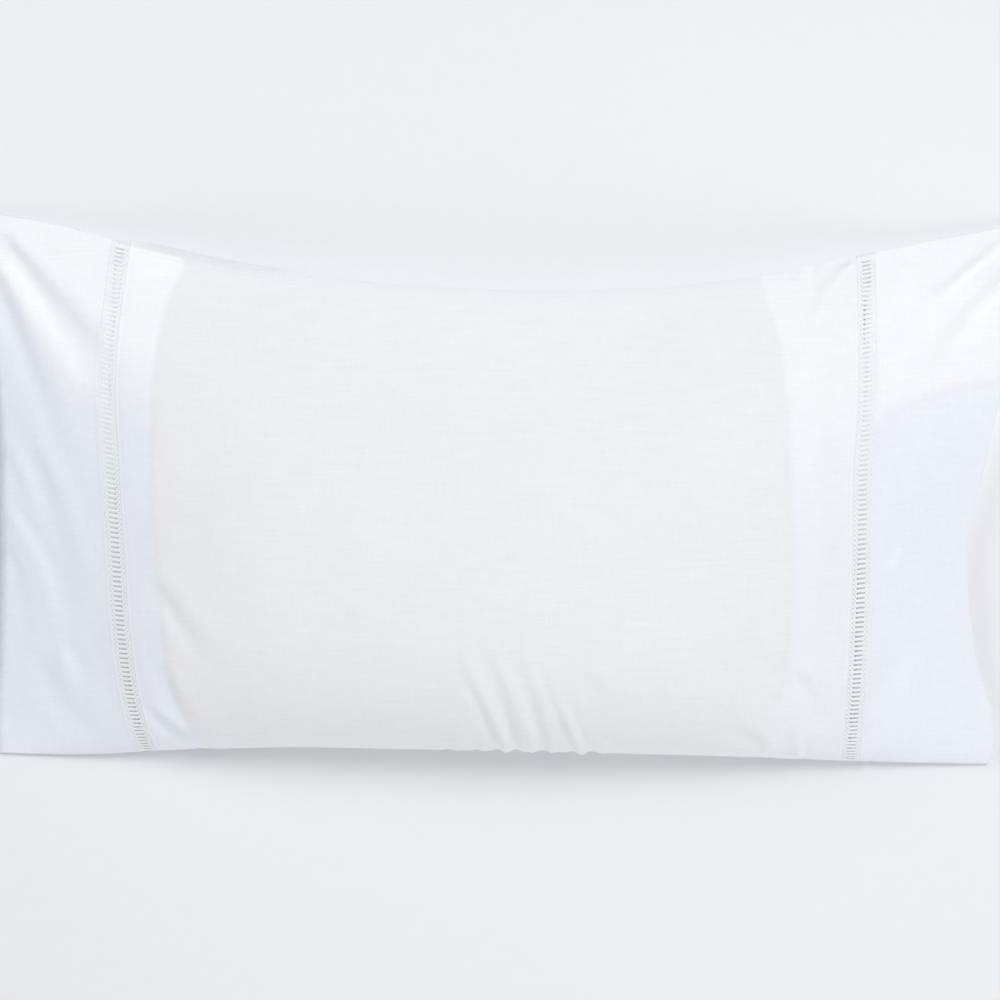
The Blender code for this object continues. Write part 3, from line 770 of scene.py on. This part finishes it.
def seamless_paper(name, colour):
    """Matt studio paper, with the faint mottling of its fibres. Painted shade makes it a little darker at
    the back, farther from the lamps.
    """
    material, tree = new_material(name)
    place = add_node(tree, "ShaderNodeTexCoord").outputs["Object"]
    fibres = add_node(tree, "ShaderNodeTexNoise", {"Vector": place, "Scale": 60, "Detail": 5})
    shade = add_node(tree, "ShaderNodeMapRange",
                     {"Value": fibres.outputs["Fac"], "To Min": 0.985, "To Max": 1.015})
    upward = add_node(tree, "ShaderNodeSeparateXYZ", {"Vector": place}).outputs["Y"]
    # Painted shade towards the back, farther from the lamps.
    far = add_node(tree, "ShaderNodeMapRange", {
        "Value": upward, "From Min": FLOOR_SHADE_Y[0], "From Max": FLOOR_SHADE_Y[1],
        "To Min": 1.0, "To Max": 0.94})
    both = add_node(tree, "ShaderNodeMath", {0: shade.outputs[0], 1: far.outputs[0]},
                    operation="MULTIPLY")
    toned = add_node(tree, "ShaderNodeVectorMath", {0: colour, "Scale": both.outputs[0]},
                     operation="SCALE")
    shader = add_node(tree, "ShaderNodeBsdfPrincipled",
                      {"Base Color": toned.outputs[0], "Roughness": 0.95, "Specular IOR Level": 0.1})
    add_node(tree, "ShaderNodeOutputMaterial", {"Surface": shader.outputs[0]})
    return material


# Operators, one for each piece or group of like pieces.

class CASE_OT_body(bpy.types.Operator):
    """Make the middle panel of the case, front and back, over the pillow"""
    bl_idname = "pillowcase.body"
    bl_label = "Body"

    def execute(self, context):
        cloth = context.scene.case_cloth
        start, end = LEFT_LACE + LACE_WIDTH / 2, RIGHT_LACE - LACE_WIDTH / 2
        hem = 2 * cloth.hem_width
        alongs = stretches(start, ((start + hem, FINE_CELL), (end - hem, cloth.cell), (end, FINE_CELL)))
        rows = np.union1d(spread_rows(cloth.rows), np.linspace(LIP_ROWS_FROM, 1, LIP_ROWS))
        bm = two_layers(len(alongs) - 1, len(rows) - 1)
        column, row, layer = indices(bm)
        along, across = alongs[column], rows[row]
        x, y = plan(along, across)
        to_lace = np.minimum(along - start, end - along)
        free = swelling(to_lace / SETTLED)
        relief = free * (unevenness(x, y) + pillow_step(x, y)) + rolled_edge(to_lace, cloth)
        points = case_surface(along, across, np.where(layer == OUTER, FRONT, BACK), relief, cloth.lip)
        piece = finish_piece(bm, "body_panel", points, [cotton_percale("cotton_percale_filled", cloth, 0)],
                             "body")
        mark_cotton(piece.data, cloth.lip)
        return {"FINISHED"}


def hollow_piece(alongs, rows, ply, relief, is_hole=None, closed_column=None):
    """The grid and points of a sheet that runs right round the case, with one end sewn shut if wanted."""
    bm = two_layers(len(alongs) - 1, len(rows) - 1, is_hole)
    column, row, layer = indices(bm)
    last = float(len(rows) - 1)
    for f in bm.faces:
        f.material_index = int(all(v.co.z == INNER for v in f.verts))
    joins = [f for f in bm.faces if {v.co.y for v in f.verts} in ({0.0}, {last})
             or {v.co.x for v in f.verts} == {closed_column}]
    bmesh.ops.delete(bm, geom=joins, context="FACES_ONLY")
    along = np.array(alongs)[column]
    across = np.array([r[0] for r in rows])[row]
    face = np.array([r[1] for r in rows])[row]
    lift = relief(along, across, column, row)
    pinched = column == (-1 if closed_column is None else closed_column)
    inward = np.where(pinched & (layer == INNER), END_SEAM, 0.0)
    is_outer = (layer == OUTER)[:, None]
    points = np.where(is_outer, case_surface(along, across, face, lift),
                      lining(along + inward, across, face, ply, lift))
    facing = np.where(is_outer, case_surface(along, across, -face, lift),
                      lining(along + inward, across, -face, ply, lift))
    points[pinched, 2] = ((points + facing) / 2)[pinched, 2]
    return bm, points


class CASE_OT_cuffs(bpy.types.Operator):
    """Make the closed cuff and the open one"""
    bl_idname = "pillowcase.cuffs"
    bl_label = "Cuffs"

    def execute(self, context):
        cloth = context.scene.case_cloth
        materials = [cotton_percale("cotton_percale_double", cloth, 0.03),
                     percale_inside("cotton_percale_inside", cloth)]
        left, right = LEFT_LACE - LACE_WIDTH / 2, RIGHT_LACE + LACE_WIDTH / 2
        hem = 2 * cloth.hem_width
        closed = stretches(LEFT_END, ((LEFT_END + 2 * END_SEAM, 2 * END_SEAM), (left - hem, cloth.cell),
                                      (left, FINE_CELL)))
        opened = stretches(right, ((right + hem, FINE_CELL), (RIGHT_END - MOUTH_STRIP, cloth.cell),
                                   (RIGHT_END, MOUTH_CELL)))
        for name, node, alongs, lace_edge, closed_column, lean, rise in (
            ("closed_cuff", "cuff_left", closed, left, 0, math.radians(-18), 0.9 * MM),
            ("open_cuff", "cuff_right", opened, right, None, math.radians(24), 0.7 * MM),
        ):
            def relief(along, across, column, row):
                x, y = plan(along, across)
                to_lace = np.abs(along - lace_edge)
                free = swelling(to_lace / SETTLED)
                return free * (unevenness(x, y) + streaks(x, y, lean, rise)) + rolled_edge(to_lace, cloth)

            bm, points = hollow_piece(alongs, around(cloth.rows), cloth.ply, relief,
                                      closed_column=closed_column)
            piece = finish_piece(bm, name, points, materials, node)
            mark_cotton(piece.data, 0)
        return {"FINISHED"}


def ladder_rows(along, lace):
    """Places round the case for a lace band, LADDER_STEPS to a pitch, and each cell's step in its pitch."""
    rows, steps = [(-1.0, FRONT)], []
    fine = np.linspace(-1, 1, ROUND_PLACES)
    for face in (FRONT, BACK):
        points = case_surface(np.full_like(fine, along), fine, face)
        run = np.concatenate([[0], np.cumsum(np.linalg.norm(np.diff(points, axis=0), axis=1))])
        count = LADDER_STEPS * round((run[-1] - 2 * lace.margin) / lace.pitch)
        places = np.interp(np.linspace(lace.margin, run[-1] - lace.margin, count + 1), run, fine)
        rows += [(p, face) for p in (places if face == FRONT else places[::-1])]
        rows.append((1.0, BACK) if face == FRONT else (-1.0, BACK))
        steps += [-1] + [i % LADDER_STEPS for i in range(count)] + [-1]
    return rows, steps


class CASE_OT_lace(bpy.types.Operator):
    """Make the two bands of ladder lace, with two lines of pin holes on each side of the slots"""
    bl_idname = "pillowcase.lace"
    bl_label = "Ladder lace"

    def execute(self, context):
        cloth, lace = context.scene.case_cloth, context.scene.case_lace
        materials = [lace_thread("cotton_lace_thread", lace.colour),
                     percale_inside("cotton_lace_inside", cloth)]
        slot = lace.slot
        side = [slot + line * MM for line in LACE_LINES] + [LACE_WIDTH / 2 + TUCK]
        widths = np.array([-w for w in side[::-1]] + [-slot / 3, slot / 3] + side)
        for name, node, along in (("ladder_lace_left", "lace_left", LEFT_LACE),
                                  ("ladder_lace_right", "lace_right", RIGHT_LACE)):
            rows, steps = ladder_rows(along, lace)

            def is_hole(column, row):
                return (column in SLOT_COLUMNS and steps[row] in SLOT_STEPS
                        or column in RUNG_PIN_COLUMNS and steps[row] in RUNG_PIN_STEPS
                        or column in SLOT_PIN_COLUMNS and steps[row] in SLOT_PIN_STEPS)

            def relief(place, across, column, row):
                """Rungs are rounded up, and the edges are tucked down."""
                step = np.array(steps + [-1])[row]
                rung = np.isin(step, RUNG_TOP_STEPS) & (np.abs(place - along) < slot + RUNG_PAST)
                edge = (column == 0) | (column == len(widths) - 1)
                return np.where(rung, lace.thread, 0.0) - np.where(edge, TUCK, 0.0)

            bm, points = hollow_piece(along + widths, rows, cloth.ply, relief, is_hole)
            piece = finish_piece(bm, name, points, materials, node)
        return {"FINISHED"}


def soft_light(name, place, size, power):
    """A square area light at a place, turned to the case."""
    data = bpy.data.lights.new(name, "AREA")
    data.shape = "SQUARE"
    data.size = size
    data.energy = power
    light = bpy.data.objects.new(name, data)
    bpy.context.scene.collection.objects.link(light)
    light.location = place
    light.rotation_euler = (-Vector(place)).to_track_quat("-Z", "Y").to_euler()


class CASE_OT_stage(bpy.types.Operator):
    """Make the floor, the lights and the camera"""
    bl_idname = "pillowcase.stage"
    bl_label = "Stage"

    def execute(self, context):
        stage = context.scene.case_stage
        bm = bmesh.new()
        bmesh.ops.create_grid(bm, x_segments=2, y_segments=2, size=FLOOR_HALF)
        mesh = bpy.data.meshes.new("floor")
        bm.to_mesh(mesh)
        bm.free()
        mesh.materials.append(seamless_paper("seamless_paper", stage.floor))
        floor = bpy.data.objects.new("floor", mesh)
        context.scene.collection.objects.link(floor)

        for name, place, size, power in (
            ("key_light", (1.0, 1.2, 2.4), 1.0, stage.key),
            ("upper_left_light", (-1.5, 1.5, 1.7), 1.2, stage.upper_left),
            ("lower_right_light", (1.7, -1.7, 1.0), 1.2, stage.lower_right),
            ("lower_left_light", (-1.7, -1.7, 1.0), 1.2, stage.lower_left),
            ("lower_light", (0, -2.2, 0.9), 1.6, stage.lower),
        ):
            soft_light(name, place, size, power)
        world = bpy.data.worlds.new("studio")
        world.use_nodes = True
        background = world.node_tree.nodes["Background"]
        background.inputs["Color"].default_value = rgba(srgb("#FFFFFF"))
        background.inputs["Strength"].default_value = stage.sky
        context.scene.world = world
        context.scene.view_settings.view_transform = "Standard"

        back = Vector((0, math.sin(stage.tilt), math.cos(stage.tilt)))
        up = Vector((0, math.cos(stage.tilt), -math.sin(stage.tilt)))
        data = bpy.data.cameras.new("camera")
        data.sensor_width = SENSOR
        data.lens = SENSOR * stage.distance / stage.width
        data.clip_end = CAMERA_REACH
        camera = bpy.data.objects.new("camera", data)
        context.scene.collection.objects.link(camera)
        turn = Matrix((up.cross(back), up, back)).transposed().to_4x4()
        camera.matrix_world = Matrix.Translation(Vector(CAMERA_TARGET) + back * stage.distance) @ turn
        context.scene.camera = camera
        return {"FINISHED"}


class CASE_PT_panel(bpy.types.Panel):
    """Lists the sizes, the colours and the operators in the sidebar"""
    bl_idname = "CASE_PT_panel"
    bl_label = "Pillowcase"
    bl_space_type = "VIEW_3D"
    bl_region_type = "UI"
    bl_category = "Pillowcase"

    def draw(self, context):
        for group, operators in PANEL_ROWS:
            box = self.layout.box()
            settings = getattr(context.scene, group)
            for name in settings.__annotations__:
                box.prop(settings, name)
            for operator in operators:
                box.operator(operator.bl_idname)


SETTINGS = (("case_cloth", ClothSettings), ("case_lace", LaceSettings), ("case_stage", StageSettings))
OPERATORS = (CASE_OT_body, CASE_OT_cuffs, CASE_OT_lace, CASE_OT_stage)
PANEL_ROWS = (
    ("case_cloth", (CASE_OT_body, CASE_OT_cuffs)),
    ("case_lace", (CASE_OT_lace,)),
    ("case_stage", (CASE_OT_stage,)),
)


def register():
    for name, settings in SETTINGS:
        bpy.utils.register_class(settings)
        setattr(bpy.types.Scene, name, PointerProperty(type=settings))
    for item in (*OPERATORS, CASE_PT_panel):
        bpy.utils.register_class(item)


def unregister():
    for item in (CASE_PT_panel, *reversed(OPERATORS)):
        bpy.utils.unregister_class(item)
    for name, settings in reversed(SETTINGS):
        delattr(bpy.types.Scene, name)
        bpy.utils.unregister_class(settings)


def main():
    """Builds every piece and the stage."""
    register()
    bpy.ops.pillowcase.body()
    bpy.ops.pillowcase.cuffs()
    bpy.ops.pillowcase.lace()
    bpy.ops.pillowcase.stage()


if __name__ == "__main__":
    main()
